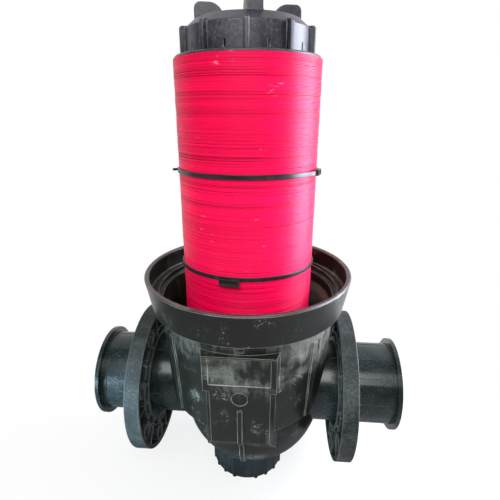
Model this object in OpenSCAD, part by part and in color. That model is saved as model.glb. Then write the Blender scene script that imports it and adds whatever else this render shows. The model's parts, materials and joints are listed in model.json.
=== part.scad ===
// Irrigation disc filter, 4-inch pipe size, opened: bowl with two lipped spigots, loose flanges,
// drain cap, and the disc cartridge standing on its seat. Millimetres. The bowl's axis is Z,
// the floor is z = 0, the ports lie along X and the label panel faces -Y.

/* [Bowl] */
// Outer diameter of the rim at its top edge
rim_od = 280; // [276:1:290]
// Height of the rim's top edge above the floor
rim_z = 330; // [324:1:340]
// Height of the rim band
band_h = 44; // [38:1:48]
// How far the band draws in towards its bottom edge
band_draft = 8; // [5:1:10]
// Thickness of the rim's outer lip
lip_wall = 6.5; // [5:0.5:8]
// Depth of the cover's seat below the rim
seat_drop = 25; // [22:1:27]
// Width of the cover's seat
seat_w = 11.5; // [10:0.5:13]
// Depth of the seal groove in that seat
groove_drop = 4; // [3:0.5:5]
// Width of the step below the seat
step_w = 4.5; // [3:0.5:6]
// Height of the step
step_h = 8; // [6:1:10]
// Length of the funnel below the step
funnel_h = 25; // [20:1:30]
// How far the bowl's wall sets back under the band
bowl_set_back = 11; // [8:1:13]
// How far the wall draws in from there down to its shoulder
bowl_draft = 8; // [6:1:10]
// Height of the shoulder above the floor
shoulder_z = 147; // [143:1:150]
// Wall of the bowl
bowl_wall = 9; // [7:0.5:10]
// How much smaller the round sump is than the shoulder, on the radius
sump_inset = 12; // [10:1:14]
// Height of the sump's centre above the floor
sump_z = 128; // [125:1:131]
// How far the sump leans towards the outlet
sump_shift = 8; // [4:1:10]
// Drop of the slanting shoulder
shoulder_drop = 22; // [20:1:24]
// Height of the flat ring under the sump
base_h = 10; // [8:1:12]
// How far that ring stands out over the drain cap
base_over = 1; // [0.5:0.5:2]
// Chamfer of the moulded outer edges
edge = 1.5; // [1:0.1:2]

/* [Front panel] */
// Width of the front panel across the label
panel_w = 89; // [84:1:94]
// Height of the panel's top ledge above the floor
panel_top_z = 268.5; // [264:0.5:270]
// Width of the narrower pad below the label
pad_w = 74.5; // [70:0.5:80]
// Height at which the panel narrows to the pad
pad_top_z = 216; // [214:1:220]
// Height of the pad's lower edge above the floor
panel_low_z = 134; // [128:1:140]
// How far the panel stands proud of the bowl
panel_proud = 3.5; // [2.5:0.5:5]
// How much wider the panel gets towards the bowl, per mm of depth
panel_draft = 0.25; // [0.1:0.05:0.4]
// How much wider the pad gets towards the bowl, per mm of depth
pad_draft = 0.5; // [0.3:0.05:0.6]
// How far the pad reaches down past its lower edge
panel_tuck = 28; // [26:1:30]
// Thickness of the panel's top ledge
ledge_t = 2.5; // [2:0.5:3.5]
// How far the ledge stands out past the panel
ledge_proud = 2; // [1:0.5:3]
// Width of the bare label field
label_w = 75; // [60:1:80]
// Height of the bare label field
label_h = 39; // [30:1:41]
// Gap between the panel's top and the label field
label_drop = 4; // [4:0.5:6]
// Depth of the label field
label_depth = 1; // [0.5:0.1:1.5]
// Diameter of the bare round recess
emblem_d = 20; // [14:1:20]
// Depth of the recess
emblem_depth = 1.2; // [0.6:0.2:2]
// Height of the recess above the floor
emblem_z = 205; // [203:1:206]
// Width of the small notch under the band
notch_w = 11; // [8:1:14]
// Height of the notch
notch_h = 5.5; // [4:0.5:7]
// Depth of the notch
notch_depth = 2; // [1:0.5:3]
// Height of the notch's lower edge above the panel's top
notch_rise = 3; // [2:0.5:5]
// Height of the centre rib's top above the floor
rib_top_z = 188; // [175:1:190]
// Width of the centre rib
rib_w = 6; // [4:0.5:8]
// How far the ribs stand proud
rib_proud = 2.5; // [1.5:0.5:4]
// Angle of the side ribs from the front
side_rib_angle = 48.5; // [42:0.5:52]
// Width of the side ribs
side_rib_w = 8; // [6:0.5:10]
// Top of the side ribs above the floor
side_rib_top_z = 266; // [255:1:275]
// Lower end of the side ribs above the floor
side_rib_low_z = 150; // [148:1:170]

/* [Ports] */
// Outer diameter of the spigots, the 4-inch pipe size
spigot_od = 114.3; // [112:0.1:116]
// Wall of the spigots
spigot_wall = 6; // [5:0.5:7]
// Distance from the axis to a spigot's end face
spigot_reach = 214; // [208:1:224]
// Depth of the sockets that hold the spigots
socket_depth = 23; // [21:1:25]
// Height of the port axis above the floor
port_z = 150; // [147:1:153]
// Diameter of the lips at the spigots' ends
lip_od = 130; // [126:1:134]
// Thickness of the lips
lip_t = 5.5; // [4.5:0.5:7]
// Length of the plain band behind a lip
lip_band = 8.5; // [6:0.5:12]
// Number of flat ribs along a spigot
spigot_ribs = 10; // [6:1:12]
// Width of those ribs
spigot_rib_w = 8.5; // [6:0.5:10]
// Height of those ribs
spigot_rib_h = 0.4; // [0.2:0.1:0.6]
// Wall of the sockets that hold the spigots
socket_wall = 6.5; // [5:0.5:8]
// Thickness of the stop that a spigot's seal rests on
stop_t = 6; // [5:0.5:8]

/* [Flanges] */
// Outer diameter of the flanges
flange_od = 215; // [208:1:220]
// Thickness of the flanges
flange_t = 20.7; // [18:0.1:24]
// Diameter of the hole for the spigot
flange_bore = 124; // [121:0.5:126]
// Bolt circle of the flanges
bolt_circle_d = 180; // [176:1:184]
// Number of bolt holes
bolt_count = 8; // [4:4:8]
// Diameter of the bolt holes
bolt_hole = 18; // [16:0.5:19]
// Wall round each bolt hole
boss_wall = 4; // [3:0.5:5]
// Wall of the flange's rings and face plate
flange_wall = 5.5; // [4:0.5:7]
// Thickness of the stiffening ribs and of the ring between them
flange_rib_t = 3; // [2:0.5:4]
// How far the ribs stay back from the rim's edge
rib_set_back = 2; // [1:0.5:4]
// Distance of the left flange's ribbed face from the bowl
left_flange_gap = 13; // [2:1:30]
// Distance of the right flange's ribbed face from the bowl
right_flange_gap = 7; // [2:1:30]

/* [Drain cap] */
// Diameter over the grip ribs
cap_od = 112; // [108:1:114]
// Height of the drain cap
cap_h = 40.2; // [36:0.1:44]
// Thickness of the cap's floor
cap_floor = 6; // [5:0.5:8]
// Places for grip ribs round the cap
cap_rib_places = 20; // [15:5:25]
// One place in this many is left plain
cap_plain_step = 5; // [5:5:10]
// Diameter of the rounded grip ribs
cap_rib_d = 6.5; // [5:0.5:8]
// How far the grip ribs stand proud
cap_rib_proud = 1.6; // [1:0.1:2.2]
// Outer diameter of the drain neck
neck_od = 92; // [88:1:94]
// Wall of the drain neck
neck_wall = 6; // [5:0.5:8]
// Thickness of the drain gasket
gasket_t = 3; // [2:0.5:4]

/* [Cartridge] */
// Outer diameter of the filter discs
disc_od = 173; // [165:1:178]
// Inner diameter of the filter discs
disc_id = 118; // [114:1:124]
// Height of the stack's bottom above the floor
stack_z = 227; // [224:1:232]
// Height of the disc stack
stack_h = 362; // [300:1:380]
// Number of grooves shown round the stack
stack_grooves = 44; // [20:1:60]
// Depth of the grooves
groove_depth = 0.8; // [0.4:0.1:1.2]
// Width of the grooves
groove_w = 1; // [0.6:0.1:1.4]
// Wall of the spine's slotted tube
spine_wall = 5; // [4:0.5:6]
// Slots round the spine
spine_slots = 6; // [4:1:8]
// Rows of slots up the spine
spine_rows = 5; // [3:1:6]
// Width of the ribs left between the slots
spine_rib = 12; // [8:1:16]
// Thickness of the spine's base plate
base_t = 7; // [6:0.5:9]
// Depth of the base plate's skirt below the stack
base_skirt = 15; // [12:1:16]
// Diameter of the spine's threaded neck
spine_neck_od = 76; // [70:1:80]
// Bore of the outlet leg that takes the spine's nozzle
seat_bore = 92; // [88:1:94]
// Wall of the outlet leg and elbow
elbow_wall = 5; // [4:0.5:6]
// How far the elbow's round knee swells past its pipe
knee_swell = 2; // [1.5:0.5:3]
// Length of the nozzle below its seat
nozzle_len = 22; // [16:1:26]

/* [Wing cap] */
// Diameter of the pressure ring
ring_od = 169.4; // [160:0.1:176]
// Thickness of the pressure ring
ring_t = 3; // [2.5:0.5:4]
// Depth of the pressure ring's hub inside the stack
hub_depth = 8; // [6:0.5:12]
// Wall of that hub
hub_wall = 5; // [3:0.5:7]
// Outer diameter of the wing cap's wall
wing_od = 144; // [136:1:150]
// Height of the wall's top above the pressure ring
wing_wall_h = 27; // [24:1:30]
// Height of the cap's top face above the pressure ring
wing_top_h = 37; // [34:1:40]
// Diameter of the cap's top face
wing_top_d = 120; // [112:1:126]
// Thickness of the cap's shell
wing_shell = 4; // [3:0.5:5]
// Number of ribs round the cap
wing_ribs = 10; // [8:1:12]
// Diameter over those ribs
wing_rib_od = 156; // [150:1:160]
// Width of those ribs
wing_rib_w = 5; // [4:0.5:7]
// How far the ribs rise above the wall
wing_rib_rise = 2; // [1:0.5:4]
// Rounding of the ribs' top corners
wing_rib_round = 3; // [2:0.5:4]
// Width of the slits between the ribs
slit_w = 1.5; // [1:0.5:3]
// Height of the slits
slit_h = 7; // [5:0.5:9]
// Height of the slits above the pressure ring
slit_z = 3; // [2:0.5:5]
// Angle of the first rib from the front
wing_rib_turn = 4; // [0:1:35]
// Height of the lugs above the cap's top face
lug_h = 17; // [12:1:22]
// Thickness of the lugs
lug_t = 17; // [12:1:20]
// Rounding of the lugs' outer corners
lug_round = 7; // [4:0.5:9]
// Length of the lugs
lug_len = 32; // [26:1:38]
// Angle of the first lug from the front
lug_turn = 12; // [0:1:45]
// Number of lugs
lug_count = 4; // [2:1:4]

/* [Ties] */
// Height of the upper tie above the floor
upper_tie_z = 465; // [440:1:500]
// Height of the lower tie above the floor
lower_tie_z = 347; // [340:1:400]
// Angle of the upper tie's head from the front
upper_head_angle = 78; // [60:1:90]
// Angle of the upper tie's free tail from the front
tail_angle = -82; // [-90:1:-60]
// How far the tail springs away from the strap
tail_spring = 35; // [20:1:50]
// Angle of the lower tie's head from the front
lower_head_angle = -14; // [-30:1:30]
// How far the lower tie's head hangs below its strap
lower_head_drop = 3; // [0:0.5:4]
// Width of the ties' straps
tie_w = 5; // [4:0.5:7]
// Thickness of the ties' straps
tie_t = 1.4; // [1.2:0.1:2]
// Length of a tie's head
tie_head_l = 22; // [14:1:26]
// Height of a tie's head
tie_head_h = 9; // [7:0.5:11]
// Thickness of a tie's head
tie_head_t = 5.5; // [4.5:0.5:7]
// Length of the upper tie's free tail
tie_tail_l = 16; // [8:1:22]

/* [Fits] */
// Gap between moving or loose round faces
slide_gap = 0.3; // [0.2:0.05:0.5]
// Gap between fixed pieces that plug together
plug_gap = 0.2; // [0.1:0.05:0.3]
// Gap that lets a flange hang free on its spigot
hang_gap = 0.45; // [0.3:0.05:0.6]
// Play round the discs on their spine and the nozzle in its seat
disc_play = 1; // [0.6:0.1:1.4]
// Play of a small seal ring in its groove
seal_play = 0.1; // [0.05:0.05:0.15]
// Section diameter of the large seal rings
seal_d = 5; // [4:0.5:6]
// Section diameter of the small seal rings
ring_seal_d = 2.8; // [2.4:0.1:3.2]

/* [Hidden] */
$fn = 96;
eps = 0.01;

// Radii and heights of the bowl
rim_r = rim_od / 2;
band_z = rim_z - band_h;
lip_in_r = rim_r - lip_wall;
cover_seat_z = rim_z - seat_drop;
cover_seat_r = lip_in_r - seat_w;
groove_r = lip_in_r - seat_w / 2;
groove_in_r = groove_r - seal_d / 2 - plug_gap;
groove_out_r = groove_r + seal_d / 2 + plug_gap;
step_z = cover_seat_z - step_h;
step_r = cover_seat_r - step_w;
throat_z = step_z - funnel_h;
bowl_top_r = rim_r - band_draft - bowl_set_back;
bowl_low_r = bowl_top_r - bowl_draft;
shoulder_low_z = shoulder_z - shoulder_drop;
sump_r = bowl_low_r - sump_inset;
base_z = cap_h + slide_gap;
base_r = cap_od / 2 + base_over;
neck_r = neck_od / 2;
neck_bore_r = neck_r - neck_wall;
neck_z = cap_floor + gasket_t;
root_r = bowl_low_r - 2 * bowl_wall;
taper = (bowl_top_r - bowl_low_r) / (band_z - shoulder_z);
function bowl_r(z) = bowl_low_r + taper * (z - shoulder_z);

// Radii and places of the ports and the outlet elbow
spigot_r = spigot_od / 2;
spigot_in_r = spigot_r - spigot_wall;
socket_r = spigot_r + socket_wall;
spigot_root_x = bowl_low_r - socket_depth;
stop_x = spigot_root_x - ring_seal_d - 2 * eps;
seat_r = seat_bore / 2;
elbow_r = seat_r + elbow_wall;
seat_z = stack_z - base_skirt;

// Radii and places of the flanges
flange_r = flange_od / 2;
flange_bore_r = flange_bore / 2;
flange_hang = flange_bore_r - spigot_r - spigot_rib_h - hang_gap;
flange_z = port_z - flange_hang;
boss_r = bolt_hole / 2 + boss_wall;
mid_ring_r = bolt_circle_d / 2 - boss_r + flange_rib_t / 2 - 1;

// Heights and radii of the cartridge
disc_r = disc_od / 2;
disc_in_r = disc_id / 2;
stack_top_z = stack_z + stack_h;
spine_r = disc_in_r - disc_play;
spine_top_z = stack_top_z - hub_depth - disc_play;
nozzle_r = seat_r - disc_play;
spine_neck_r = spine_neck_od / 2;
ring_hub_bore_r = spine_neck_r + disc_play + slide_gap;
wing_z = stack_top_z + ring_t;
wing_r = wing_od / 2;
wing_top_z = wing_z + wing_top_h;
neck_top_z = wing_z + wing_wall_h - wing_shell / 2;

// Seats of the small seal rings
seal_ring_r = ring_seal_d / 2;
base_seal_r = seat_r - slide_gap - seal_ring_r;
base_seal_z = seat_z - nozzle_len / 2;
cap_seal_r = ring_hub_bore_r - slide_gap - seal_ring_r;
cap_seal_z = stack_top_z - hub_depth / 2;

// Turns its children so that they stand on the bowl at an angle from the front, +X to the right
module at_angle(a) {
    rotate([0, 0, a - 90]) children();
}

// Places its children along the port axis, with their own Z pointing out of the port on that side
module along_port(side) {
    translate([0, 0, port_z]) rotate([0, side * 90, 0]) children();
}

// Solid outside of the rim band and the bowl down to its shoulder
module bowl_outside() {
    rotate_extrude()
        polygon([[0, shoulder_low_z], [bowl_low_r - shoulder_drop, shoulder_low_z],
            [bowl_low_r, shoulder_z], [bowl_top_r, band_z], [rim_r - band_draft, band_z],
            [rim_r, rim_z - edge], [rim_r - edge, rim_z], [0, rim_z]]);
}

// Space inside the rim and the bowl
module bowl_inside() {
    low_r = bowl_low_r - bowl_wall;
    rotate_extrude()
        polygon([[0, shoulder_low_z + bowl_wall],
            [low_r - shoulder_drop + bowl_wall / 2, shoulder_low_z + bowl_wall],
            [low_r, shoulder_z + bowl_wall / 2], [bowl_r(throat_z) - bowl_wall, throat_z],
            [step_r, step_z], [cover_seat_r, step_z], [cover_seat_r, cover_seat_z],
            [groove_in_r, cover_seat_z], [groove_in_r, cover_seat_z - groove_drop],
            [groove_out_r, cover_seat_z - groove_drop], [groove_out_r, cover_seat_z],
            [lip_in_r, cover_seat_z], [lip_in_r, rim_z - edge], [lip_in_r + edge, rim_z],
            [lip_in_r + edge, rim_z + 1], [0, rim_z + 1]]);
}

// Round sump under the shoulder, cut level with the base
module sump(r, low_z) {
    intersection() {
        translate([sump_shift, 0, sump_z]) sphere(r = r);
        translate([0, 0, low_z]) cylinder(r = 2 * sump_r, h = shoulder_z + shoulder_drop - low_z);
    }
}

// Side outline of the front panel, pushed out by a given amount
module panel_block(width, out) {
    top_y = bowl_r(panel_top_z) + panel_proud + out;
    low_y = bowl_r(panel_low_z) + panel_proud + out;
    rotate([90, 0, -90]) translate([0, 0, -width / 2])
        linear_extrude(height = width)
            polygon([[root_r, panel_top_z], [top_y, panel_top_z], [low_y, panel_low_z],
                [low_y - shoulder_drop, panel_low_z - panel_tuck],
                [root_r - shoulder_drop, panel_low_z - panel_tuck]]);
}

// Leans a flat piece like the front panel and sets it on the panel at height z
module on_panel(z) {
    lean = atan(taper);
    translate([0, -bowl_r(z) - panel_proud, z]) rotate([90 + lean, 0, 0]) children();
}

// Upright block on the panel between two heights, wider towards the bowl by the draft
module drafted_block(front_w, draft, low_z, high_z) {
    deep = 2 * bowl_wall;
    on_panel((low_z + high_z) / 2)
        rotate([90, 0, 0]) translate([0, 0, (low_z - high_z) / 2]) linear_extrude(height = high_z - low_z)
            polygon([[-front_w / 2 - draft * deep, -deep], [front_w / 2 + draft * deep, -deep],
                [front_w / 2 - draft, 1], [draft - front_w / 2, 1]]);
}

// Front panel: a wide part round the label, a narrower pad below, a ledge and the centre rib
module front_panel() {
    intersection() {
        panel_block(2 * panel_w, 0);
        union() {
            drafted_block(panel_w, panel_draft, pad_top_z, panel_top_z + rib_w);
            drafted_block(pad_w, pad_draft, panel_low_z - 2 * panel_tuck, pad_top_z + rib_w);
        }
    }
    intersection() {
        panel_block(panel_w, ledge_proud);
        translate([-panel_w, -2 * rim_r, panel_top_z - ledge_t])
            cube([2 * panel_w, 2 * rim_r, ledge_t + 1]);
    }
    intersection() {
        translate([-rib_w / 2, -2 * rim_r, base_z]) cube([rib_w, 2 * rim_r, rib_top_z - base_z]);
        union() {
            panel_block(panel_w, rib_proud);
            sump(sump_r + rib_proud, base_z);
            translate([0, 0, base_z]) cylinder(r = base_r + rib_proud, h = base_h);
        }
    }
}

// Shallow recesses of the front: bare label field, bare round and the notch under the band
module front_recesses() {
    on_panel(panel_top_z - label_drop - label_h / 2)
        translate([-label_w / 2, -label_h / 2, -label_depth]) cube([label_w, label_h, label_depth + 1]);
    on_panel(emblem_z) translate([0, 0, -emblem_depth]) cylinder(d = emblem_d, h = emblem_depth + 1);
    translate([-notch_w / 2, -bowl_r(panel_top_z) - 1, panel_top_z + notch_rise])
        cube([notch_w, notch_depth + 1, notch_h]);
}

// Upright ribs on the bowl, front and back
module side_ribs() {
    intersection() {
        rotate_extrude()
            polygon([[root_r, side_rib_low_z],
                [bowl_r(side_rib_low_z) + rib_proud, side_rib_low_z],
                [bowl_r(side_rib_top_z) + rib_proud, side_rib_top_z],
                [root_r, side_rib_top_z]]);
        for (face = [0, 180], s = [-1, 1])
            at_angle(face + s * side_rib_angle)
                translate([0, -side_rib_w / 2, 0]) cube([rim_r, side_rib_w, rim_z]);
    }
}

// Outlet elbow: from the right port to the round seat under the cartridge
module elbow(r, reach, top_z) {
    translate([0, 0, port_z]) sphere(r = r + knee_swell);
    along_port(1) cylinder(r = r, h = reach);
    translate([0, 0, port_z]) cylinder(r = r, h = top_z - port_z);
}

module body() {
    color([0.13, 0.14, 0.13]) difference() {
        union() {
            difference() {
                union() {
                    bowl_outside();
                    sump(sump_r, base_z);
                    translate([0, 0, base_z]) cylinder(r = base_r, h = base_h);
                    translate([0, 0, neck_z]) cylinder(r = neck_r, h = base_z + base_h - neck_z);
                    front_panel();
                    side_ribs();
                }
                bowl_inside();
                sump(sump_r - bowl_wall, base_z + base_h / 2);
            }
            intersection() {
                union() {
                    for (side = [-1, 1])
                        along_port(side) translate([0, 0, stop_x - stop_t])
                            cylinder(r = socket_r, h = bowl_low_r);
                    elbow(elbow_r, stop_x, seat_z);
                }
                bowl_outside_core();
            }
        }
        elbow(seat_r, stop_x + 1, seat_z + 1);
        for (side = [-1, 1])
            along_port(side) {
                translate([0, 0, stop_x]) cylinder(r = spigot_r + plug_gap, h = rim_r);
                translate([0, 0, stop_x - stop_t - bowl_wall])
                    cylinder(r = seat_r, h = stop_t + bowl_wall + 1);
            }
        translate([0, 0, neck_z - 1]) cylinder(r = neck_bore_r, h = base_z + base_h);
        front_recesses();
    }
}

// Region that the sockets and the elbow may fill, up to the bowl's outer wall
module bowl_outside_core() {
    bowl_outside();
    sump(sump_r, base_z);
}

module cover_seal() {
    color([0.06, 0.06, 0.06])
        translate([0, 0, cover_seat_z - groove_drop + seal_d / 2 + eps])
            rotate_extrude() translate([groove_r, 0]) circle(d = seal_d, $fn = 32);
}

// Lipped pipe stub with shallow ribs along it
module spigot(side) {
    rib_len = spigot_reach - lip_t - lip_band - bowl_top_r;
    color([0.10, 0.13, 0.15]) along_port(side) difference() {
        union() {
            translate([0, 0, spigot_root_x]) cylinder(r = spigot_r, h = spigot_reach - spigot_root_x);
            translate([0, 0, spigot_reach - lip_t]) cylinder(d = lip_od, h = lip_t);
            translate([0, 0, spigot_reach - lip_t - lip_band])
                cylinder(r = spigot_r + spigot_rib_h, h = lip_band + 1);
            for (i = [0:spigot_ribs - 1])
                rotate([0, 0, 90 + i * 360 / spigot_ribs])
                    translate([spigot_in_r + 1, -spigot_rib_w / 2, bowl_top_r])
                        cube([spigot_wall - 1 + spigot_rib_h, spigot_rib_w, rib_len + 1]);
        }
        translate([0, 0, spigot_root_x - 1]) cylinder(r = spigot_in_r, h = spigot_reach);
    }
}

module left_spigot() {
    spigot(-1);
}

module right_spigot() {
    spigot(1);
}

// Seal ring between a spigot's inner end and the stop in its socket
module spigot_seal(side) {
    color([0.05, 0.05, 0.05]) along_port(side)
        translate([0, 0, stop_x + seal_ring_r + eps])
            rotate_extrude() translate([spigot_r - spigot_wall / 2, 0]) circle(r = seal_ring_r, $fn = 32);
}

module left_spigot_seal() {
    spigot_seal(-1);
}

module right_spigot_seal() {
    spigot_seal(1);
}

// Flat ring of a flange, from z0 up
module flange_ring(outer_r, inner_r, z0, h) {
    translate([0, 0, z0]) difference() {
        cylinder(r = outer_r, h = h);
        translate([0, 0, -1]) cylinder(r = inner_r, h = h + 2);
    }
}

// Loose flange with an open ribbed side towards the bowl; its own Z points away from the bowl
module flange() {
    bolt_r = bolt_circle_d / 2;
    rib_inner_r = flange_bore_r + flange_wall / 2;
    rib_outer_r = flange_r - flange_wall / 2;
    rib_h = flange_t - rib_set_back - 1;
    difference() {
        union() {
            flange_ring(flange_r, flange_bore_r, flange_t - flange_wall, flange_wall);
            flange_ring(flange_r, flange_r - flange_wall, 0, flange_t);
            flange_ring(flange_bore_r + flange_wall, flange_bore_r, 0, flange_t);
            flange_ring(mid_ring_r, mid_ring_r - flange_rib_t, rib_set_back, rib_h);
            for (i = [0:bolt_count - 1]) {
                rotate([0, 0, (i + 0.5) * 360 / bolt_count])
                    translate([bolt_r, 0, 0]) cylinder(r = boss_r, h = flange_t - 1, $fn = 48);
                rotate([0, 0, i * 360 / bolt_count])
                    translate([rib_inner_r, -flange_rib_t / 2, rib_set_back])
                        cube([rib_outer_r - rib_inner_r, flange_rib_t, rib_h]);
                rotate([0, 0, (i + 0.5) * 360 / bolt_count])
                    translate([rib_inner_r, -flange_rib_t / 2, rib_set_back])
                        cube([bolt_r - rib_inner_r, flange_rib_t, rib_h]);
            }
        }
        for (i = [0:bolt_count - 1])
            rotate([0, 0, (i + 0.5) * 360 / bolt_count])
                translate([bolt_r, 0, -1]) cylinder(d = bolt_hole, h = flange_t + 2, $fn = 48);
    }
}

module left_flange() {
    color([0.20, 0.21, 0.20])
        translate([-bowl_top_r - left_flange_gap, 0, flange_z]) rotate([0, -90, 0]) flange();
}

module right_flange() {
    color([0.20, 0.21, 0.20])
        translate([bowl_top_r + right_flange_gap, 0, flange_z]) rotate([0, 90, 0]) flange();
}

// Drain cap: a ribbed cup that screws on the neck under the bowl
module bottom_cap() {
    wall_r = cap_od / 2 - cap_rib_proud;
    rib_r = cap_rib_d / 2;
    color([0.11, 0.13, 0.14]) difference() {
        union() {
            rotate_extrude()
                polygon([[0, 0], [wall_r - edge, 0], [wall_r, edge], [wall_r, cap_h], [0, cap_h]]);
            for (i = [0:cap_rib_places - 1])
                if (i % cap_plain_step != 0)
                    at_angle(i * 360 / cap_rib_places)
                        translate([cap_od / 2 - rib_r, 0, 0])
                            cylinder(r = rib_r, h = cap_h - edge, $fn = 32);
        }
        translate([0, 0, cap_floor]) cylinder(r = neck_r + slide_gap, h = cap_h);
    }
}

module bottom_cap_gasket() {
    color([0.05, 0.05, 0.05]) translate([0, 0, cap_floor]) difference() {
        cylinder(r = neck_r, h = gasket_t);
        translate([0, 0, -1]) cylinder(r = neck_bore_r, h = gasket_t + 2);
    }
}

// Cuts a groove for a small seal ring of mean radius r into a round face
module seal_groove(r, z) {
    translate([0, 0, z - seal_ring_r - seal_play]) difference() {
        cylinder(r = r + ring_seal_d, h = ring_seal_d + 2 * seal_play);
        translate([0, 0, -1]) cylinder(r = r - seal_ring_r - seal_play, h = ring_seal_d + 2);
    }
}

// Small seal ring of mean radius r at height z
module seal_ring(r, z) {
    color([0.05, 0.05, 0.05]) translate([0, 0, z])
        rotate_extrude() translate([r, 0]) circle(r = seal_ring_r, $fn = 32);
}

// Slotted core of the cartridge: nozzle and base plate below, closed top with a neck above
module disc_spine() {
    slot_z = stack_z + base_t;
    row_h = (spine_top_z - base_t - slot_z) / spine_rows;
    slot_w = 2 * spine_r * sin(180 / spine_slots) - spine_rib;
    bore_r = spine_r - spine_wall;
    nozzle_in_r = nozzle_r - elbow_wall;
    foot_r = elbow_r + spine_wall;
    skirt_r = disc_r - disc_play;
    skirt_z = seat_z + spine_wall;
    color([0.09, 0.09, 0.09]) difference() {
        rotate_extrude()
            polygon([[nozzle_in_r, seat_z - nozzle_len], [nozzle_r, seat_z - nozzle_len],
                [nozzle_r, seat_z], [foot_r, seat_z], [foot_r, stack_z - base_t],
                [skirt_r - base_t, stack_z - base_t], [skirt_r - base_t, skirt_z], [skirt_r, skirt_z],
                [skirt_r, stack_z], [spine_r, stack_z],
                [spine_r, spine_top_z], [spine_neck_r, spine_top_z], [spine_neck_r, neck_top_z],
                [0, neck_top_z], [0, spine_top_z - base_t], [bore_r, spine_top_z - base_t],
                [bore_r, slot_z], [nozzle_in_r, stack_z - base_t]]);
        seal_groove(base_seal_r, base_seal_z);
        seal_groove(cap_seal_r, cap_seal_z);
        for (i = [0:spine_slots - 1], k = [0:spine_rows - 1])
            rotate([0, 0, (i + 0.5) * 360 / spine_slots])
                translate([bore_r / 2, -slot_w / 2, slot_z + k * row_h + spine_rib / 4])
                    cube([spine_r, slot_w, row_h - spine_rib / 2]);
    }
}

module spine_base_seal() {
    seal_ring(base_seal_r, base_seal_z);
}

// Stack of grooved rings, shown as one solid with a groove between groups of rings
module filter_discs() {
    pitch = stack_h / stack_grooves;
    in_r = disc_r - groove_depth;
    gap = groove_w / 2;
    outline = [for (i = [0:stack_grooves - 1])
        each [[in_r, i * pitch + gap / 2], [disc_r, i * pitch + gap],
            [disc_r, (i + 1) * pitch - gap], [in_r, (i + 1) * pitch - gap / 2]]];
    color([0.90, 0.03, 0.25]) translate([0, 0, stack_z])
        rotate_extrude()
            polygon(concat([[disc_in_r, 0], [in_r, 0]], outline,
                [[in_r, stack_h], [disc_in_r, stack_h]]));
}

// Flat ring that presses the discs together, with a hub round the spine's neck
module pressure_ring() {
    color([0.16, 0.16, 0.17]) translate([0, 0, stack_top_z])
        rotate_extrude()
            polygon([[ring_hub_bore_r, -hub_depth], [ring_hub_bore_r + hub_wall, -hub_depth],
                [ring_hub_bore_r + hub_wall, 0], [ring_od / 2, 0], [ring_od / 2, ring_t / 2],
                [ring_od / 2 - ring_t / 2, ring_t], [ring_hub_bore_r, ring_t]]);
}

// One radial lug: tall and square outside, sloping down to the middle with rounded corners
module lug() {
    outer = wing_top_d / 2;
    corner = lug_round;
    rotate([90, 0, 0]) translate([0, 0, -lug_t / 2])
        linear_extrude(height = lug_t)
            difference() {
                union() {
                    translate([outer - lug_len, -wing_shell])
                        square([lug_len - corner, wing_shell + lug_h]);
                    translate([outer - corner - 1, -wing_shell])
                        square([corner + 1, wing_shell + lug_h - corner]);
                    translate([outer - corner, lug_h - corner]) circle(r = corner);
                }
                difference() {
                    translate([outer - lug_len - 1, 0]) square([lug_h, lug_h + 1]);
                    translate([outer - lug_len - 1 + lug_h, 0]) circle(r = lug_h);
                }
            }
}

// Screw cap with ribs round its wall and lugs to turn it by
module wing_cap() {
    hub_r = spine_neck_r + slide_gap + wing_shell;
    rib_h = wing_wall_h + wing_rib_rise;
    color([0.15, 0.15, 0.16]) difference() {
        union() {
            difference() {
                rotate_extrude()
                    polygon([[0, wing_z], [wing_r, wing_z], [wing_r, wing_z + wing_wall_h],
                        [wing_top_d / 2, wing_top_z], [0, wing_top_z]]);
                rotate_extrude()
                    polygon([[0, wing_z - 1], [wing_r - wing_shell, wing_z - 1],
                        [wing_r - wing_shell, wing_z + wing_wall_h - wing_shell / 2],
                        [wing_top_d / 2 - wing_shell / 2, wing_top_z - wing_shell],
                        [0, wing_top_z - wing_shell]]);
            }
            translate([0, 0, wing_z]) cylinder(r = hub_r, h = wing_top_h - 1);
            for (i = [0:wing_ribs - 1])
                at_angle(wing_rib_turn + i * 360 / wing_ribs)
                    translate([wing_r - wing_shell / 2, -wing_rib_w / 2, wing_z])
                        wing_rib(rib_h);
            for (i = [0:lug_count - 1])
                at_angle(lug_turn + i * 360 / lug_count)
                    translate([0, 0, wing_top_z]) lug();
        }
        translate([0, 0, wing_z - 1]) cylinder(r = spine_neck_r + slide_gap, h = neck_top_z - wing_z + 2);
        for (i = [0:wing_ribs - 1])
            at_angle(wing_rib_turn + (i + 0.5) * 360 / wing_ribs)
                translate([wing_r - 2 * wing_shell, -slit_w / 2, wing_z + slit_z])
                    cube([3 * wing_shell, slit_w, slit_h]);
    }
}

// One upright rib of the wing cap with a rounded top corner
module wing_rib(h) {
    out = wing_rib_od / 2 - wing_r + wing_shell / 2;
    corner = wing_rib_round;
    translate([0, wing_rib_w, 0]) rotate([90, 0, 0])
        linear_extrude(height = wing_rib_w) {
            square([out, h - corner]);
            square([out - corner, h]);
            translate([out - corner, h - corner]) circle(r = corner, $fn = 32);
        }
}

module cap_seal() {
    seal_ring(cap_seal_r, cap_seal_z);
}

// Strap ring of a tie with its head at an angle from the front, hung a little below the strap
module tie(z, head_angle, head_drop) {
    in_r = disc_r + slide_gap;
    translate([0, 0, z]) {
        translate([0, 0, -tie_w / 2]) difference() {
            cylinder(r = in_r + tie_t, h = tie_w);
            translate([0, 0, -1]) cylinder(r = in_r, h = tie_w + 2);
        }
        at_angle(head_angle)
            translate([in_r + tie_t / 2, -tie_head_l / 2, -tie_head_h / 2 - head_drop])
                cube([tie_head_t, tie_head_l, tie_head_h]);
    }
}

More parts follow.
